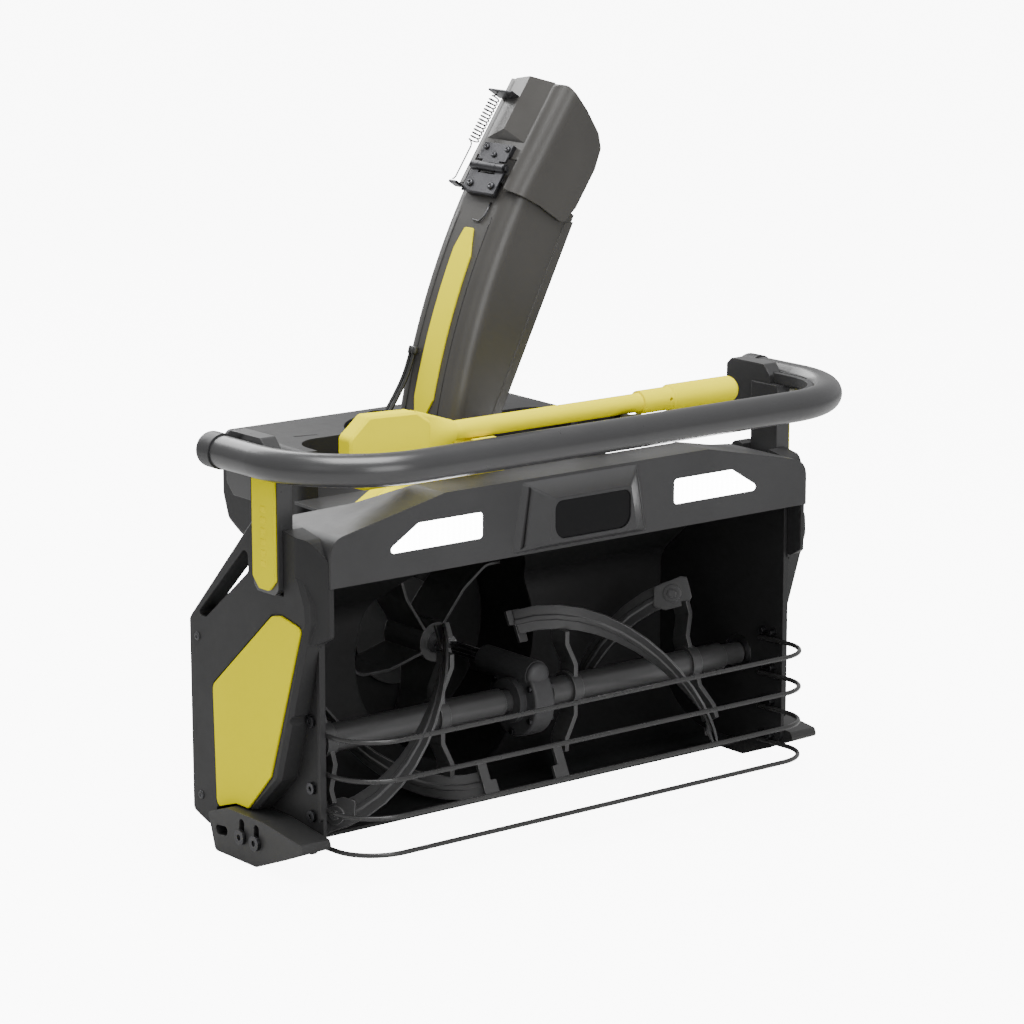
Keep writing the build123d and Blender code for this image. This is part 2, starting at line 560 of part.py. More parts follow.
cut_arms = []
for c in arms:
    for q in plates:
        c = c - q
    cut_arms.append(c.solids().sort_by(SortBy.VOLUME)[-1])
arms = cut_arms
put("flight_arms", group(*arms))
put("flight_plates", group(*plates))


def ribbon_set(xin, xout, pitch):
    out = []
    for a0 in (0, 180):
        xe = xout + pitch * (A_END - A_OUT)
        rb = ribbon(xin, xe, A_START + a0, A_END + a0)
        for c in arms + plates:
            rb = rb - c
        out.append(rb.solids().sort_by(SortBy.VOLUME)[-1])
    return group(*out)


put("auger_flight_right", ribbon_set(XR_START, XR_OUT, PITCH_R))
put("auger_flight_left", ribbon_set(XL_START, XL_OUT, PITCH_L))

# ----------------------------------------------------------------- impeller
hub = cyl_y(0, IMP_Z, 22.0, 222, 292)
rotor = hub
for k in range(5):
    blade = ex_y(strip([(19, 2), (66, -4), (101, -18), (111, -34)], 3.0, 20), 222, 288)
    blade = Pos(0, 0, IMP_Z) * Rot(0, 72 * k + 14, 0) * blade
    rotor = rotor + blade
back = cyl_y(0, IMP_Z, 60.0, 288, 291)
rotor = rotor + back
rotor = rotor - cyl_y(0, IMP_Z, 12.0, 200, 300)
put("impeller_rotor", rotor.solids().sort_by(SortBy.VOLUME)[-1])
wsh = cyl_y(0, IMP_Z, 7.0, AUG_Y - 19, 200) + cyl_y(0, IMP_Z, 8.6, AUG_Y - 16, AUG_Y + 34)
wsh = wsh + cyl_y(0, IMP_Z, 12.0, 200, 340)
put("worm_shaft", wsh)
put("impeller_bearing", cyl_y(0, IMP_Z, 24.0, DRUM_Y1 - 9.9, DRUM_Y1) - cyl_y(0, IMP_Z, 12.06, DRUM_Y1 - 20, DRUM_Y1 + 10)
    + (cyl_y(0, IMP_Z, 16.8, DRUM_Y1, DRUM_Y1 + 8) - cyl_y(0, IMP_Z, 12.06, DRUM_Y1 - 20, DRUM_Y1 + 20)))

# -------------------------------------------------------------------- chute
ring_z0 = DECK_Z + 3.0
gear_r = 74.0
g0 = ring_z0 + 5.5
gear_f = cyl_z(0, CH_Y, gear_r, g0, g0 + 7) - cyl_z(0, CH_Y, 52.0, g0 - 5, g0 + 20)
for k in range(56):
    a = math.radians(k * 360 / 56)
    gear_f = gear_f - Pos(gear_r * math.cos(a), CH_Y + gear_r * math.sin(a), g0 + 3.5) * Rot(0, 0, k * 360 / 56) * Box(4.4, 3.8, 9)
put("chute_ring_gear", gear_f)

PIN_CY = 318.0
PIN_CX = 0.0
pr = 9.0
pin_gear = cyl_z(PIN_CX, PIN_CY, 11.4, g0, g0 + 7)
for k in range(8):
    a = math.radians(k * 45)
    pin_gear = pin_gear - Pos(11.4 * math.cos(a), PIN_CY + 11.4 * math.sin(a), g0 + 3.5) * Rot(0, 0, k * 45) * Box(4.4, 3.8, 9)
put("chute_pinion", pin_gear + cyl_z(PIN_CX, PIN_CY, 4.0, 330, g0 + 1))
put("chute_motor", cyl_z(PIN_CX, PIN_CY, 15.0, 306, DECK_Z) - cyl_z(PIN_CX, PIN_CY, 4.06, 328, 350))

c_z0 = g0 + 7
c_z1 = 402.0
co = loft([Plane.XY.offset(c_z0) * Pos(0, CH_Y) * Circle(60), Plane.XY.offset(c_z1) * rpoly([(-14, 182), (52, 182), (52, 282), (-14, 282)], 20)])
ci = loft([Plane.XY.offset(c_z0 - 0.0) * Pos(0, CH_Y) * Circle(56.5), Plane.XY.offset(c_z1 + 0.0) * rpoly([(-11, 185), (49, 185), (49, 279), (-11, 279)], 17)])
put("chute_collar", co - ci)

CH_Y0, CH_Y1 = 182.0, 282.0


def chute_solid(dx, y0, y1, zb, zt, xo, r):
    """Solid swept by the spine curve; dx moves the spine inwards."""
    e = [ThreePointArc((-14 + dx, 402), (19 + dx, 522), (76 + dx, 645))]
    tx, tz = (76 + dx), 645.0
    if zt > 645:
        k = (zt - 645)
        e.append(Line((tx, tz), (tx + k * 0.62, zt)))
        tx, tz = tx + k * 0.62, zt
    e.append(Line((tx, tz), (xo[1], tz)))
    e.append(Line((xo[1], tz), (xo[0], zb)))
    e.append(Line((xo[0], zb), (-14 + dx, zb)))
    if zb < 402:
        e.append(Line((-14 + dx, zb), (-14 + dx, 402)))
    s = ex_y(make_face(e), y0, y1)
    ed = []
    for q in s.edges():
        c = q.center()
        if (abs(c.Y - y0) < 0.01 or abs(c.Y - y1) < 0.01) and q.geom_type == GeomType.CIRCLE:
            ed.append(q)
    s = fillet(ed, r)
    return s


chute_o = chute_solid(0, CH_Y0, CH_Y1, 402, 690, (52, 193.5), 20)
chute_i = chute_solid(3.0, CH_Y0 + 3, CH_Y1 - 3, 402, 690, (200, 260), 17)
tube = chute_o - chute_i
# raised bead along the two open edges
for y0, y1 in ((CH_Y0 - 1.0, CH_Y0), (CH_Y1, CH_Y1 + 1.0)):
    tube = tube + ex_y(rpoly([(40, 402), (52, 402), (156.5, 611), (144.5, 611)], 0.5), y0, y1)
# the top end is cut square to the deflector, 20 mm inside it
D0 = (76.5, 648.5)
DS, DN = (0.5547, 0.8321), (-0.8321, 0.5547)


def dpt(s, n):
    """Point at s up the deflector's spine and n outward from it (X, Z)."""
    return (D0[0] + DS[0] * s + DN[0] * n, D0[1] + DS[1] * s + DN[1] * n)


tube = tube - ex_y(rpoly([dpt(20, 60), dpt(20, -160), dpt(120, -160), dpt(120, 60)], 0), 150, 310)
put("chute_tube", tube.solids().sort_by(SortBy.VOLUME)[-1])

# yellow stripe bonded on the spine
st = ex_y(make_face([ThreePointArc((-16 + 0, 402), (17, 522), (74, 645)), Line((74, 645), (90, 645)), Line((90, 645), (0, 402)), Line((0, 402), (-16, 402))]), 214, 250)
st = st & ex_x(rpoly([(222, 414), (242, 414), (246, 430), (246, 586), (240, 608), (226, 608), (214, 580), (214, 430)], 2), -60, 140)
st = st - chute_solid(0, 150, 310, 402, 645, (52, 172), 1)
put("chute_stripe", st.solids().sort_by(SortBy.VOLUME)[-1])

# ------------------------------------------------------------ deflector hood
D_Y0, D_Y1 = 177.0, 286.0
dir_s, nrm = DS, DN
d_out = [dpt(0, 5), dpt(134, 5), (172, 731), (188, 705), (191.5, 688), (183, 666), (157, 627), (139, 611), (105, 634)]
d_o = ex_y(rpoly(d_out, [2, 6, 8, 6, 6, 8, 5, 8, 4]), D_Y0, D_Y1)
d_in = [dpt(-30, 2.4), dpt(160, 2.4), (330, 760), (330, 560), (60, 560)]
d_i = ex_y(rpoly(d_in, 0), D_Y0 + 2.6, D_Y1 - 2.6)
# round the two long edges of the spine by a prism along it
pr_o = dpt(-60, 5)
pl_r = Plane(origin=(pr_o[0], 0, pr_o[1]), x_dir=(0, 1, 0), z_dir=(DS[0], 0, DS[1]))
d_o = d_o & extrude(pl_r * rpoly([(D_Y0, -260), (D_Y1, -260), (D_Y1, 0), (D_Y0, 0)], [0, 0, 20, 20]), amount=300)
spi = [q for q in d_i.edges() if (abs(q.center().Y - D_Y0 - 2.6) < 0.01 or abs(q.center().Y - D_Y1 + 2.6) < 0.01)
       and q.geom_type == GeomType.LINE and q.center().X < 160 and q.length > 150 and abs((q @ 1).X - (q @ 0).X) < 140]
d_i = fillet(spi, 17.4)
defl = d_o - d_i
# shallow ridge down the middle of the spine, ending in a wedge
pl = Plane(origin=(dpt(56, 5)[0], 232, dpt(56, 5)[1]), x_dir=(0, 1, 0), z_dir=(dir_s[0], 0, dir_s[1]))
ridge = extrude(pl * rpoly([(-34, -0.5), (34, -0.5), (0, 9)], 0), amount=76)
pw = Plane(origin=(dpt(30, 5)[0], 232, dpt(30, 5)[1]), x_dir=(0, 1, 0), z_dir=(dir_s[0], 0, dir_s[1]))
# notch in the spine for the hinge
notch = ex_y(rpoly([dpt(-20, -6), dpt(36, -6), dpt(36, 14), dpt(-20, 14)], 0), 198, 266)
defl = defl - notch
ridge = ridge & ex_y(rpoly([dpt(56, 4.5), dpt(131, 4.5), dpt(131, 20), dpt(72, 20)], 0), 190, 280)
defl = (defl + ridge).solids().sort_by(SortBy.VOLUME)[-1]
put("deflector_shell", defl)

# hinge: lower leaf on the chute, upper leaf on the deflector, pin between
PX, PZ = dpt(22, 9)


def leaf(s0, s1, n0, n1, y0, y1):
    return ex_y(rpoly([dpt(s0, n0), dpt(s1, n0), dpt(s1, n1), dpt(s0, n1)], 0.8), y0, y1)


low = leaf(-9, 21, 6.0, 8.6, 204, 260)
low = low + cyl_y(PX, PZ, 5.0, 204, 217) + cyl_y(PX, PZ, 5.0, 247, 260)
low = low - leaf(14, 40, -3, 30, 217.4, 246.6) - cyl_y(PX, PZ, 2.6, 190, 270)
# packer block between the leaf and the chute's spine
blk = leaf(-9, 6, -3.4, 6.0, 210, 254)
blk = blk - chute_solid(0, 150, 310, 402, 690, (52, 193.5), 1)
blk = blk.solids().sort_by(SortBy.VOLUME)[-1]
lug = leaf(-6, -3, 6.0, 18, 250, 274) - leaf(-9, 30, 8.6, 40, 200, 262)
low = low + blk + lug
put("hinge_leaf_lower", low.solids().sort_by(SortBy.VOLUME)[-1])
up = leaf(23, 50, 7.6, 10.2, 208, 256)
up = up - leaf(10, 29.2, -3, 30, 190, 217.6) - leaf(10, 29.2, -3, 30, 246.4, 280)
up = up + cyl_y(PX, PZ, 5.0, 217.6, 246.4) - cyl_y(PX, PZ, 2.66, 190, 270)
up = up + leaf(38, 50, 5.0, 7.6, 208, 256)
put("hinge_leaf_upper", up.solids().sort_by(SortBy.VOLUME)[-1])
put("hinge_pin", cyl_y(PX, PZ, 2.6, 201, 263))

# bracket fin near the top, with the spring hooked to it
fin = leaf(104, 106.5, 5.0, 24, 236, 276)
fin = fin - ex_y(rpoly([dpt(100, 15), dpt(110, 15), dpt(110, 18), dpt(100, 18)], 0), 246, 251) - defl
put("spring_bracket", fin.solids().sort_by(SortBy.VOLUME)[-1])
s0, s1 = -2.6, 103.6
sa, sb = dpt(s0, 16.5), dpt(s1, 16.5)
pls = Plane(origin=(sa[0], 268, sa[1]), z_dir=(dir_s[0], 0, dir_s[1]))
put("deflector_spring", extrude(pls * (Circle(5.0) - Circle(3.6)), amount=s1 - s0))

# control cable: clipped to the spine, falls to the collar in one loop
cab_pts = [(-1.5, 262, 478), (-11, 263, 450), (-27, 264, 424), (-46, 264, 400), (-60, 263, 381), (-64, 262, 360.5)]


def cable(off):
    pts = [(x, y + off, z) for x, y, z in cab_pts]
    rad = []
    for i in range(1, len(pts) - 1):
        a = Vector(*pts[i - 1]) - Vector(*pts[i])
        b = Vector(*pts[i + 1]) - Vector(*pts[i])
        turn = 180 - a.get_angle(b)
        rad.append(0.45 * min(a.length, b.length) / math.tan(math.radians(turn) / 2))
    path = FilletPolyline(*pts, radius=rad)
    d = Vector(*pts[1]) - Vector(*pts[0])
    return sweep(Plane(origin=pts[0], z_dir=d.normalized()) * Circle(2.2), path=path), rad


ca, rads = cable(0)
cb, _ = cable(-6)
print("cable radii", [round(r, 1) for r in rads])
put("chute_cables", group(ca - NODES["chute_ring_gear"] - tube, cb - NODES["chute_ring_gear"] - tube))

# ---------------------------------------------------------------- skid shoes
skid_pts = [(153, 52), (141, 14), (67, 14), (-15, 48), (-11, 56), (54, 64), (118, 64)]
SKID_DROP = 14.0


def skid(sign):
    s = ex_x(rpoly(skid_pts, [4, 6, 14, 4, 3, 8, 8]), XO + 0.6, 345.0)
    s = s - ex_x(rpoly([(118, 44), (140, 42), (138, 32), (118, 34)], 5), XO - 5, 350)
    # lightening pocket on the hidden inner side
    s = s - ex_x(rpoly([(12, 53), (48, 58), (48, 34), (16, 46)], 2), XO - 5, 334)
    for y in (92, 66):
        slot = ex_x(rpoly([(y - 4.6, 35.4), (y + 4.6, 35.4), (y + 4.6, 40.6 + SKID_DROP + 4.0), (y - 4.6, 40.6 + SKID_DROP + 4.0)], 4.5), XO - 5, 350)
        s = s - slot
    return s if sign > 0 else mirror_x(s)


def skid_bolts(sign):
    b = []
    for y in (92, 66):
        b.append(cyl_x(y, 40, 8.0, 345.4, 349.0) + cyl_x(y, 40, 4.0, XO, 345.4) - cyl_x(y, 40, 3.0, 347.0, 350))
    return b if sign > 0 else [mirror_x(q) for q in b]


put("skid_shoe_right", skid(1))
put("skid_shoe_left", skid(-1))
put("skid_bolts", group(*skid_bolts(1), *skid_bolts(-1)))

# ------------------------------------------------------------ clean-out tool
ty, tz = TOOL_Y, TOOL_Z
handle = cyl_x(ty, tz, 10.0, -150, 160)
handle = handle + cyl_x(ty, tz, 12.5, 118, 162)
grip = cyl_x(ty, tz, 14.5, 158, 252)
grip = fillet(grip.edges().sort_by(Axis.X)[-1], 11)
grip = fillet(grip.edges().sort_by(Axis.X)[0], 3)
handle = handle + grip
handle = handle - cyl_y(154, tz + 1, 2.0, ty - 30, ty + 30)
neck = loft([Plane.YZ.offset(-128) * Pos(ty, tz) * Circle(11.5), Plane.YZ.offset(-176) * Pos(ty, tz) * rpoly([(-8, -34), (8, -34), (8, 27), (-8, 27)], 5)])
blade_pts = [(-260, 402), (-242, 396), (-180, 396), (-160, 414), (-160, 456), (-178, 468), (-236, 470), (-260, 450)]
blade = ex_y(rpoly(blade_pts, 8), ty - 10, ty + 10)
blade = chamfer(blade.faces().sort_by(Axis.Y)[0].edges(), 2.5)
blade = blade - ex_y(rpoly([(-252, 410), (-238, 403), (-192, 403), (-186, 410), (-186, 454), (-192, 460), (-233, 462), (-252, 446)], 6), ty + 1, ty + 20)
tool = handle + neck + blade
put("clean_out_tool", tool.solids().sort_by(SortBy.VOLUME)[-1])

# yellow cradle on the deck under the tool's neck
crad = ex_y(rpoly([(-240, DECK_Z + 3), (10, DECK_Z + 3), (-66, 414), (-66, 424), (-128, 424), (-134, 410)], [2, 2, 6, 3, 3, 8]), 66, 84)
crad = crad & ex_z(rpoly([(-236, 70), (-206, 60), (20, 60), (20, 100), (-236, 100)], 0), 340, 440)
hook_f = rpoly([(84, 412), (84, 429.5), (44, 429.5), (44, 446), (38, 446), (38, 429.5), (14, 429.5), (14, 432.5), (8, 432.5), (8, 424), (52, 424), (66, 412)], 0)
arm_c = ex_x(hook_f, -112, -84)
crad = crad + arm_c
put("tool_cradle", crad.solids().sort_by(SortBy.VOLUME)[-1])
clip = box(84, 108, 66, 84, DECK_Z + 3, 424) + ex_x(hook_f, 84, 108)
put("tool_clip", clip.solids().sort_by(SortBy.VOLUME)[-1])

# -------------------------------------------------------------------- export
loc = Location((0, Y_SHIFT, Z_SHIFT))
for name, shape in NODES.items():
    export_step(shape.moved(loc) if not isinstance(shape, Compound) else shape.moved(loc), "parts/" + name + ".step")
print(len(NODES), "nodes")
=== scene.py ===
import bpy
import bmesh
import json
import math
from mathutils import Matrix, Vector


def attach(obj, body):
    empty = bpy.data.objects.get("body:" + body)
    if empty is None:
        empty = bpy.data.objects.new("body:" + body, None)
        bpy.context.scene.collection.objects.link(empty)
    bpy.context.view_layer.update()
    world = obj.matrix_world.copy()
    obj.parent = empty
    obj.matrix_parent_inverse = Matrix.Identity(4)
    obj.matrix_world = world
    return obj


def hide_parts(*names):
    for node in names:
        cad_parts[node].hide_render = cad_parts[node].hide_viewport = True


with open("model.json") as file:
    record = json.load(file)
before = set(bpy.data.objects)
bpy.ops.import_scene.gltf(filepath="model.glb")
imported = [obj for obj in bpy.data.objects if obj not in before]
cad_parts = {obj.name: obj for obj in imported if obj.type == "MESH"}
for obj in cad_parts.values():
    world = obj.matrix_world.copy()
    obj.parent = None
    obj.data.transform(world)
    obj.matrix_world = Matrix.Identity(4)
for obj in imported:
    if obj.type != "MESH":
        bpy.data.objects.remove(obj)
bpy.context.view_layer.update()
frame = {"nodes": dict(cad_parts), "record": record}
NODES = frame["nodes"]

# ------------------------------------------------------------------ camera
AZ, EL = math.radians(-38.27), math.radians(12.53)
back = Vector((math.sin(AZ) * math.cos(EL), -math.cos(AZ) * math.cos(EL), math.sin(EL)))
cam_data = bpy.data.cameras.new("camera")
cam_data.sensor_width = 36.0
cam_data.lens = 127.99
cam_data.clip_end = 100.0
cam = bpy.data.objects.new("camera", cam_data)
bpy.context.scene.collection.objects.link(cam)
cam.rotation_mode = "QUATERNION"
cam.rotation_quaternion = back.to_track_quat("Z", "Y")
cam.location = (-2.30756, -2.96671, 1.14269)
bpy.context.scene.camera = cam


# --------------------------------------------------------------- materials
def new_mat(name):
    m = bpy.data.materials.new(name)
    m.use_nodes = True
    nt = m.node_tree
    nt.nodes.clear()
    out = nt.nodes.new("ShaderNodeOutputMaterial")
    bsdf = nt.nodes.new("ShaderNodeBsdfPrincipled")
    nt.links.new(bsdf.outputs["BSDF"], out.inputs["Surface"])
    return m, nt, bsdf


def ramp(nt, fac, stops):
    r = nt.nodes.new("ShaderNodeValToRGB")
    while len(r.color_ramp.elements) < len(stops):
        r.color_ramp.elements.new(0.5)
    for e, (p, c) in zip(r.color_ramp.elements, stops):
        e.position = p
        e.color = c if len(c) == 4 else (*c, 1.0)
    nt.links.new(fac, r.inputs["Fac"])
    return r.outputs["Color"]


def noise(nt, vec, scale, detail=4.0, rough=0.55):
    n = nt.nodes.new("ShaderNodeTexNoise")
    n.inputs["Scale"].default_value = scale
    n.inputs["Detail"].default_value = detail
    n.inputs["Roughness"].default_value = rough
    nt.links.new(vec, n.inputs["Vector"])
    return n.outputs["Fac"]


def maths(nt, op, a, b=None, c=None):
    n = nt.nodes.new("ShaderNodeMath")
    n.operation = op
    for i, v in enumerate((a, b, c)):
        if v is None:
            continue
        if hasattr(v, "links"):
            nt.links.new(v, n.inputs[i])
        else:
            n.inputs[i].default_value = v
    return n.outputs[0]


def mix_col(nt, fac, a, b):
    n = nt.nodes.new("ShaderNodeMix")
    n.data_type = "RGBA"
    if hasattr(fac, "links"):
        nt.links.new(fac, n.inputs[0])
    else:
        n.inputs[0].default_value = fac
    for i, v in ((6, a), (7, b)):
        if hasattr(v, "links"):
            nt.links.new(v, n.inputs[i])
        else:
            n.inputs[i].default_value = v if len(v) == 4 else (*v, 1.0)
    return n.outputs[2]


def coated(name, colour, rough=0.42, grain=900.0, bump=0.10, wear=None, wear_amt=0.25, metallic=0.0, edge=0.0012, var=0.12, coat=0.0, dust=0.0, spec=0.5):
    """Painted, moulded or coated surface: fine grain, slow colour drift, rounded and slightly worn edges."""
    m, nt, bsdf = new_mat(name)
    tc = nt.nodes.new("ShaderNodeTexCoord")
    pos = tc.outputs["Object"]
    slow = noise(nt, pos, 9.0, 3.0)
    mid = noise(nt, pos, 70.0, 5.0, 0.6)
    fine = noise(nt, pos, grain, 2.0, 0.5)
    c1 = [max(0.0, c * (1 - var)) for c in colour]
    c2 = [min(1.0, c * (1 + var)) for c in colour]
    base = ramp(nt, slow, [(0.3, c1), (0.7, c2)])
    speck = maths(nt, "MULTIPLY", fine, 0.10)
    base = mix_col(nt, speck, base, [min(1.0, c * 1.6 + 0.01) for c in colour])
    # edge wear from the difference between the true and the rounded normal
    bev = nt.nodes.new("ShaderNodeBevel")
    bev.samples = 4
    bev.inputs["Radius"].default_value = edge
    geo = nt.nodes.new("ShaderNodeNewGeometry")
    dot = nt.nodes.new("ShaderNodeVectorMath")
    dot.operation = "DOT_PRODUCT"
    nt.links.new(bev.outputs["Normal"], dot.inputs[0])
    nt.links.new(geo.outputs["Normal"], dot.inputs[1])
    edge_f = maths(nt, "SUBTRACT", 1.0, dot.outputs["Value"])
    edge_f = maths(nt, "MULTIPLY", edge_f, 5.0)
    edge_f = maths(nt, "MULTIPLY", edge_f, maths(nt, "ADD", maths(nt, "MULTIPLY", mid, 1.2), -0.2))
    edge_f = maths(nt, "MINIMUM", maths(nt, "MAXIMUM", edge_f, 0.0), 1.0)
    edge_f = maths(nt, "MULTIPLY", edge_f, wear_amt)
    if wear is None:
        wear = [min(1.0, c * 1.8 + 0.03) for c in colour]
    base = mix_col(nt, edge_f, base, wear)
    if dust > 0:
        sep = nt.nodes.new("ShaderNodeSeparateXYZ")
        nt.links.new(geo.outputs["Normal"], sep.inputs[0])
        d = maths(nt, "MULTIPLY", maths(nt, "MAXIMUM", sep.outputs["Z"], 0.0), dust)
        d = maths(nt, "MULTIPLY", d, mid)
        base = mix_col(nt, d, base, (0.35, 0.35, 0.35, 1.0))
    nt.links.new(base, bsdf.inputs["Base Color"])
    r = maths(nt, "ADD", rough - 0.06, maths(nt, "MULTIPLY", mid, 0.12))
    nt.links.new(r, bsdf.inputs["Roughness"])
    bsdf.inputs["Metallic"].default_value = metallic
    bsdf.inputs["Specular IOR Level"].default_value = spec
    if coat:
        bsdf.inputs["Coat Weight"].default_value = coat
        bsdf.inputs["Coat Roughness"].default_value = 0.18
    bp = nt.nodes.new("ShaderNodeBump")
    bp.inputs["Strength"].default_value = bump
    bp.inputs["Distance"].default_value = 0.0004
    nt.links.new(fine, bp.inputs["Height"])
    nt.links.new(bev.outputs["Normal"], bp.inputs["Normal"])
    nt.links.new(bp.outputs["Normal"], bsdf.inputs["Normal"])
    return m


def metal(name, colour, rough=0.35, axis=0, scale=(30, 900, 900), metallic=1.0, edge=0.0008, bump=0.06):
    """Bare or blackened steel with drawn lines, stains and rounded edges."""
    m, nt, bsdf = new_mat(name)
    tc = nt.nodes.new("ShaderNodeTexCoord")
    mp = nt.nodes.new("ShaderNodeMapping")
    mp.inputs["Scale"].default_value = scale
    nt.links.new(tc.outputs["Object"], mp.inputs["Vector"])
    lines = noise(nt, mp.outputs["Vector"], 1.0, 6.0, 0.6)
    stain = noise(nt, tc.outputs["Object"], 45.0, 5.0, 0.6)
    c1 = [c * 0.75 for c in colour]
    c2 = [min(1.0, c * 1.25) for c in colour]
    base = ramp(nt, lines, [(0.35, c1), (0.65, c2)])
    base = mix_col(nt, maths(nt, "MULTIPLY", stain, 0.35), base, [c * 0.5 for c in colour])
    nt.links.new(base, bsdf.inputs["Base Color"])
    r = maths(nt, "ADD", rough - 0.1, maths(nt, "MULTIPLY", stain, 0.2))
    nt.links.new(r, bsdf.inputs["Roughness"])
    bsdf.inputs["Metallic"].default_value = metallic
    bev = nt.nodes.new("ShaderNodeBevel")
    bev.samples = 4
    bev.inputs["Radius"].default_value = edge
    bp = nt.nodes.new("ShaderNodeBump")
    bp.inputs["Strength"].default_value = bump
    bp.inputs["Distance"].default_value = 0.0003
    nt.links.new(lines, bp.inputs["Height"])
    nt.links.new(bev.outputs["Normal"], bp.inputs["Normal"])
    nt.links.new(bp.outputs["Normal"], bsdf.inputs["Normal"])
    return m


M = {
    "black_powder_coat": coated("black_powder_coat", (0.017, 0.017, 0.0175), 0.50, 1400, 0.12, wear_amt=0.3, spec=0.35),
    "charcoal_housing": coated("charcoal_housing", (0.037, 0.037, 0.038), 0.46, 1500, 0.10, wear_amt=0.30, spec=0.35),
    "bumper_coat": coated("bumper_coat", (0.027, 0.027, 0.028), 0.30, 1700, 0.06, wear_amt=0.25, coat=0.15, spec=0.60),
    "black_plastic": coated("black_plastic", (0.030, 0.030, 0.031), 0.45, 1300, 0.16, spec=0.4),
    "yellow_panel": coated("yellow_panel", (0.86, 0.76, 0.0), 0.42, 1500, 0.05, wear=(0.92, 0.84, 0.0), var=0.02, spec=0.0),
    "yellow_plastic": coated("yellow_plastic", (0.92, 0.80, 0.0), 0.40, 1200, 0.06, wear=(1.0, 0.92, 0.0), var=0.02, spec=0.0),
    "sensor_glass": coated("sensor_glass", (0.006, 0.006, 0.0065), 0.30, 900, 0.01, wear_amt=0.1, spec=0.12),
    "chute_coat": coated("chute_coat", (0.045, 0.043, 0.040), 0.36, 1300, 0.05, wear_amt=0.25, coat=0.08, spec=0.45),
    "black_nylon": coated("black_nylon", (0.014, 0.014, 0.014), 0.45, 1100, 0.15),
    "auger_steel": coated("auger_steel", (0.080, 0.080, 0.081), 0.32, 1000, 0.16, wear=(0.32, 0.32, 0.32), wear_amt=0.8, metallic=0.45),
    "guard_wire_steel": coated("guard_wire_steel", (0.030, 0.030, 0.030), 0.28, 1500, 0.08, metallic=0.2),
    "skid_plastic": coated("skid_plastic", (0.024, 0.024, 0.024), 0.46, 900, 0.25, wear=(0.14, 0.14, 0.14), wear_amt=0.6, spec=0.4),
    "dark_fasteners": metal("dark_fasteners", (0.08, 0.08, 0.085), 0.38),
    "spring_steel": metal("spring_steel", (0.12, 0.12, 0.125), 0.36),
    "cast_housing": coated("cast_housing", (0.055, 0.055, 0.057), 0.50, 500, 0.45, wear_amt=0.5, metallic=0.3),
    "bronze": metal("bronze", (0.45, 0.28, 0.10), 0.32),
    "ground_steel": metal("ground_steel", (0.42, 0.42, 0.43), 0.25),
    "bearing_steel": metal("bearing_steel", (0.25, 0.25, 0.26), 0.30),
    "cable_rubber": coated("cable_rubber", (0.010, 0.010, 0.010), 0.42, 700, 0.12),
}


def lamp_mat():
    m, nt, bsdf = new_mat("lamp_diffuser")
    tc = nt.nodes.new("ShaderNodeTexCoord")
    sep = nt.nodes.new("ShaderNodeSeparateXYZ")
    nt.links.new(tc.outputs["Object"], sep.inputs[0])
    w = maths(nt, "SINE", maths(nt, "MULTIPLY", sep.outputs["X"], 900.0))
    n = noise(nt, tc.outputs["Object"], 60.0, 3.0)
    base = ramp(nt, n, [(0.2, (0.90, 0.90, 0.90)), (0.8, (0.97, 0.97, 0.98))])
    nt.links.new(base, bsdf.inputs["Base Color"])
    bsdf.inputs["Roughness"].default_value = 0.30
    bsdf.inputs["Subsurface Weight"].default_value = 0.1
    bsdf.inputs["Subsurface Radius"].default_value = (0.002, 0.002, 0.002)
    bsdf.inputs["Emission Color"].default_value = (1.0, 1.0, 1.0, 1.0)
    em = maths(nt, "ADD", 14.0, maths(nt, "MULTIPLY", w, 0.6))
    nt.links.new(em, bsdf.inputs["Emission Strength"])
    bp = nt.nodes.new("ShaderNodeBump")
    bp.inputs["Strength"].default_value = 0.15
    bp.inputs["Distance"].default_value = 0.0004
    nt.links.new(w, bp.inputs["Height"])
    nt.links.new(bp.outputs["Normal"], bsdf.inputs["Normal"])
    return m


M["lamp_diffuser"] = lamp_mat()
# painted shade: side and rear covers get a darker copy of the charcoal housing, standing in for the shade on their
# left-facing sides
painted_shade_cover_mat = coated("side_cover_painted_shade", (0.022, 0.022, 0.0225), 0.50, 1500, 0.12, wear_amt=0.30, spec=0.25)

slot_of = {s["node"]: s["material_slot"] for s in frame["record"]["subparts"]}
for name, ob in NODES.items():
    if ob.type != "MESH":
        continue
    mat = painted_shade_cover_mat if name in ("side_cover_left", "side_cover_right", "rear_cover") else M[slot_of[name]]
    ob.data.materials.clear()
    ob.data.materials.append(mat)


# ---------------------------------------------------------------- details
OFF = Vector((0.0, -0.131, -0.014))      # layout millimetres -> frame metres


def V(x, y, z):
    return Vector((x, y, z)) * 0.001 + OFF


D0, DS, DN = (76.5, 648.5), (0.5547, 0.8321), (-0.8321, 0.5547)


def dpt(a, n, y):
    """Point a up the deflector's spine, n outward from it, at depth y."""
    return V(D0[0] + DS[0] * a + DN[0] * n, y, D0[1] + DS[1] * a + DN[1] * n)


def add_mesh(name, bm, mat, body, smooth=True):
    me = bpy.data.meshes.new(name)
    bmesh.ops.recalc_face_normals(bm, faces=bm.faces)
    bm.to_mesh(me)
    bm.free()
    if smooth:
        for p in me.polygons:
            p.use_smooth = True
    me.materials.append(mat)
    o = bpy.data.objects.new(name, me)
    bpy.context.scene.collection.objects.link(o)
    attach(o, body)
    return o


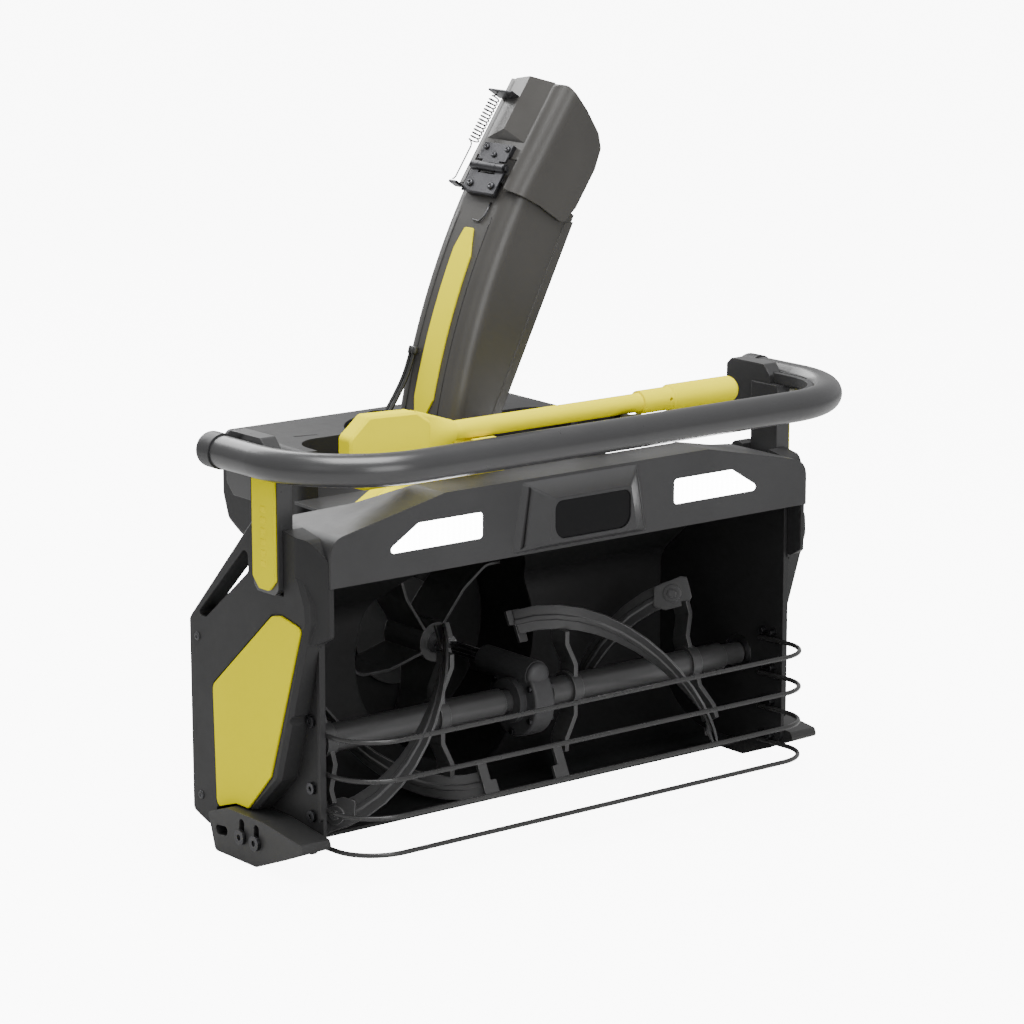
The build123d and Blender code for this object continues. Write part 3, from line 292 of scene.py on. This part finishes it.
def sweep_into(bm, pts, r, seg=12):
    """Round wire of radius r along a list of points, with closed ends."""
    pts = [Vector(p) for p in pts]
    n = len(pts)
    up = None
    rings = []
    for i in range(n):
        t = (pts[min(i + 1, n - 1)] - pts[max(i - 1, 0)]).normalized()
        if up is None:
            up = t.orthogonal().normalized()
        up = (up - t * up.dot(t)).normalized()
        side = t.cross(up)
        rr = r * (0.82 if i in (0, n - 1) else 1.0)
        ring = [bm.verts.new(pts[i] + (up * math.cos(2 * math.pi * k / seg) + side * math.sin(2 * math.pi * k / seg)) * rr) for k in range(seg)]
        rings.append(ring)
    for a, b in zip(rings, rings[1:]):
        for k in range(seg):
            bm.faces.new((a[k], a[(k + 1) % seg], b[(k + 1) % seg], b[k]))
    bm.faces.new(rings[0][::-1])
    bm.faces.new(rings[-1])


def disc_into(bm, centre, axis, profile, seg=24, flats=0):
    """Turned shape: profile is a list of (radius, height along the axis)."""
    axis = Vector(axis).normalized()
    u = axis.orthogonal().normalized()
    w = axis.cross(u)
    rings = []
    for r, h in profile:
        ring = []
        for k in range(seg):
            a = 2 * math.pi * k / seg
            ring.append(bm.verts.new(Vector(centre) + axis * h + (u * math.cos(a) + w * math.sin(a)) * r))
        rings.append(ring)
    for a, b in zip(rings, rings[1:]):
        for k in range(seg):
            bm.faces.new((a[k], a[(k + 1) % seg], b[(k + 1) % seg], b[k]))
    bm.faces.new(rings[0][::-1])
    bm.faces.new(rings[-1])


def button(bm, centre, axis, r, h, hexr=None):
    """Low dome head with a recessed drive."""
    hr = hexr or r * 0.45
    prof = [(r, 0.0), (r, h * 0.35), (r * 0.93, h * 0.65), (r * 0.78, h * 0.88), (r * 0.6, h), (hr, h), (hr * 0.96, h * 0.45), (hr * 0.3, h * 0.42)]
    disc_into(bm, centre, axis, prof)


# coil spring in the place of the plain tube, with its two hooks
bm = bmesh.new()
axis = (dpt(1, 0, 0) - dpt(0, 0, 0)).normalized()
s_lo, s_hi, turns = 45.0, 99.0, 13
pts = []
n_sp = turns * 22
nrm = (dpt(0, 1, 0) - dpt(0, 0, 0)).normalized()
yy = Vector((0, 1, 0))
for i in range(n_sp + 1):
    t = i / n_sp
    a = 2 * math.pi * turns * t
    c = dpt(s_lo + (s_hi - s_lo) * t, 16.5, 268)
    pts.append(c + (nrm * math.cos(a) + yy * math.sin(a)) * 0.0052)
sweep_into(bm, pts, 0.00085, 8)
sweep_into(bm, [dpt(s_lo, 16.5 + 5.2, 268), dpt(s_lo - 3, 17.5, 268), dpt(s_lo - 6, 16.5, 268), dpt(2, 16.5, 268), dpt(-1, 17.5, 268), dpt(-2.4, 19.0, 268)], 0.0009, 10)
sweep_into(bm, [dpt(s_hi, 16.5 + 5.2, 268), dpt(s_hi + 2, 17.8, 268), dpt(s_hi + 4.4, 16.5, 268)], 0.0009, 10)
spring = add_mesh("coil_spring", bm, M["spring_steel"], "deflector")
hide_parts("deflector_spring")

# hinge screws, two on each leaf
bm = bmesh.new()
for a, y in ((0.5, 214), (0.5, 250)):
    button(bm, dpt(a, 8.5, y), nrm, 0.0042, 0.0026)
add_mesh("hinge_screws_lower", bm, M["dark_fasteners"], "chute")
bm = bmesh.new()
for a, y in ((44, 214), (44, 250), (36, 232)):
    button(bm, dpt(a, 10.1, y), nrm, 0.0034, 0.0022)
add_mesh("hinge_screws_upper", bm, M["dark_fasteners"], "deflector")


def chute_spine(z):
    """X of the chute's spine at height z (circle through three points)."""
    (x1, z1), (x2, z2), (x3, z3) = (-14, 402), (19, 522), (76, 645)
    d = 2 * (x1 * (z2 - z3) + x2 * (z3 - z1) + x3 * (z1 - z2))
    ux = ((x1 * x1 + z1 * z1) * (z2 - z3) + (x2 * x2 + z2 * z2) * (z3 - z1) + (x3 * x3 + z3 * z3) * (z1 - z2)) / d
    uz = ((x1 * x1 + z1 * z1) * (x3 - x2) + (x2 * x2 + z2 * z2) * (x1 - x3) + (x3 * x3 + z3 * z3) * (x2 - x1)) / d
    r = math.hypot(x1 - ux, z1 - uz)
    s = 1 if x1 > ux else -1
    return ux + s * math.sqrt(max(r * r - (z - uz) ** 2, 0.0))


# seam between the spine and the rolled side of the chute
bm = bmesh.new()
sweep_into(bm, [V(chute_spine(z) - 0.05, 204.0, z) for z in range(412, 632, 10)], 0.0006, 8)
sweep_into(bm, [V(chute_spine(z) - 0.05, 260.0, z) for z in range(412, 632, 10)], 0.0006, 8)
add_mesh("chute_seams", bm, M["black_nylon"], "chute")

# bent rod below the hinge
bm = bmesh.new()
zz = 632
sweep_into(bm, [V(chute_spine(636) - 1.2, 214, 636), V(chute_spine(622) - 1.8, 215, 622), V(chute_spine(616) - 1.8, 221, 616), V(chute_spine(617) - 1.8, 232, 617)], 0.0011, 10)
add_mesh("limit_rod", bm, M["spring_steel"], "chute")

# screws on the side covers' edge and dome nuts on the gearbox
bm = bmesh.new()
for sx in (-1, 1):
    for y, z in ((190, 60), (192, 228)):
        button(bm, V(sx * 331.9, y - 6, z), (sx, 0, 0), 0.0045, 0.0018)
add_mesh("cover_screws", bm, M["dark_fasteners"], "housing")
bm = bmesh.new()
disc_into(bm, V(0, 48.2, 161), (0, -1, 0), [(0.0142, -0.001), (0.0142, 0.002), (0.0132, 0.0045), (0.0105, 0.0065), (0.006, 0.0078), (0.002, 0.0082)], 40)
add_mesh("gearbox_cap", bm, M["cast_housing"], "housing")

# name-free badge plates: a shallow bar on each post cover
bm = bmesh.new()
for sx in (-1, 1):
    for k in range(6):
        z = 330 + k * 11
        c = V(sx * 341.05, 52, z)
        vs = []
        for dy, dz in ((-4, -3), (4, -3), (4, 3), (-4, 3)):
            vs.append((dy, dz))
        rings = []
        for h, g in ((-0.2, 1.0), (0.25, 1.0), (0.45, 0.86)):
            rings.append([bm.verts.new(c + Vector((sx * h, dy * g, dz * g)) * 0.001) for dy, dz in vs])
        for a, b in zip(rings, rings[1:]):
            for q in range(4):
                bm.faces.new((a[q], a[(q + 1) % 4], b[(q + 1) % 4], b[q]))
        bm.faces.new(rings[0][::-1])
        bm.faces.new(rings[-1])
add_mesh("post_cover_ribs", bm, M["yellow_plastic"], "housing", smooth=False)

# cable grommet on the chute
bm = bmesh.new()
for dy in (0, -6):
    disc_into(bm, V(-1.5, 262 + dy, 478), (-0.3, 0.0, -1.0), [(0.0028, -0.004), (0.0036, -0.003), (0.0036, 0.003), (0.0031, 0.0045), (0.0024, 0.005)], 20)
add_mesh("cable_grommets", bm, M["black_nylon"], "chute")

# ------------------------------------------------------------ light, floor
world = bpy.data.worlds.new("studio")
bpy.context.scene.world = world
world.use_nodes = True
wn = world.node_tree
wn.nodes.clear()
wo = wn.nodes.new("ShaderNodeOutputWorld")
bg1 = wn.nodes.new("ShaderNodeBackground")
bg1.inputs["Color"].default_value = (1, 1, 1, 1)
bg1.inputs["Strength"].default_value = 0.60
bg2 = wn.nodes.new("ShaderNodeBackground")
bg2.inputs["Color"].default_value = (1, 1, 1, 1)
bg2.inputs["Strength"].default_value = 9.8
lp = wn.nodes.new("ShaderNodeLightPath")
ms = wn.nodes.new("ShaderNodeMixShader")
wn.links.new(lp.outputs["Is Camera Ray"], ms.inputs[0])
wn.links.new(bg1.outputs[0], ms.inputs[1])
wn.links.new(bg2.outputs[0], ms.inputs[2])
wn.links.new(ms.outputs[0], wo.inputs["Surface"])


def area(name, loc, target, size, power, size_y=None):
    d = bpy.data.lights.new(name, "AREA")
    d.energy = power
    d.size = size
    if size_y:
        d.shape = "RECTANGLE"
        d.size_y = size_y
    o = bpy.data.objects.new(name, d)
    bpy.context.scene.collection.objects.link(o)
    o.location = loc
    o.rotation_mode = "QUATERNION"
    o.rotation_quaternion = (Vector(loc) - Vector(target)).to_track_quat("Z", "Y")
    return o


area("top_soft", (-0.3, -0.5, 3.2), (0, 0, 0.3), 2.0, 150)
area("back_top", (0.3, 3.0, 2.2), (0, 0, 0.4), 2.6, 85, 1.6)
area("left_soft", (-3.4, -1.6, 2.0), (0, 0, 0.35), 1.8, 6)
area("front_soft", (-0.6, -3.8, 1.5), (0, 0, 0.3), 2.0, 52)

fm, fnt, fb = new_mat("floor_paint")
ftc = fnt.nodes.new("ShaderNodeTexCoord")
fn = noise(fnt, ftc.outputs["Object"], 1.5, 3.0)
fcol = ramp(fnt, fn, [(0.2, (0.56, 0.56, 0.56)), (0.8, (0.60, 0.60, 0.60))])
fnt.links.new(fcol, fb.inputs["Base Color"])
fb.inputs["Roughness"].default_value = 0.85
fb.inputs["Emission Color"].default_value = (1, 1, 1, 1)
flp = fnt.nodes.new("ShaderNodeLightPath")
fnt.links.new(maths(fnt, "MULTIPLY", flp.outputs["Is Camera Ray"], 9.0), fb.inputs["Emission Strength"])
fme = bpy.data.meshes.new("floor")
fbm = bmesh.new()
bmesh.ops.create_grid(fbm, x_segments=8, y_segments=8, size=14.0)
fbm.to_mesh(fme)
fbm.free()
floor = bpy.data.objects.new("floor", fme)
bpy.context.scene.collection.objects.link(floor)
floor.location = (0, 4, -0.0005)
fme.materials.append(fm)
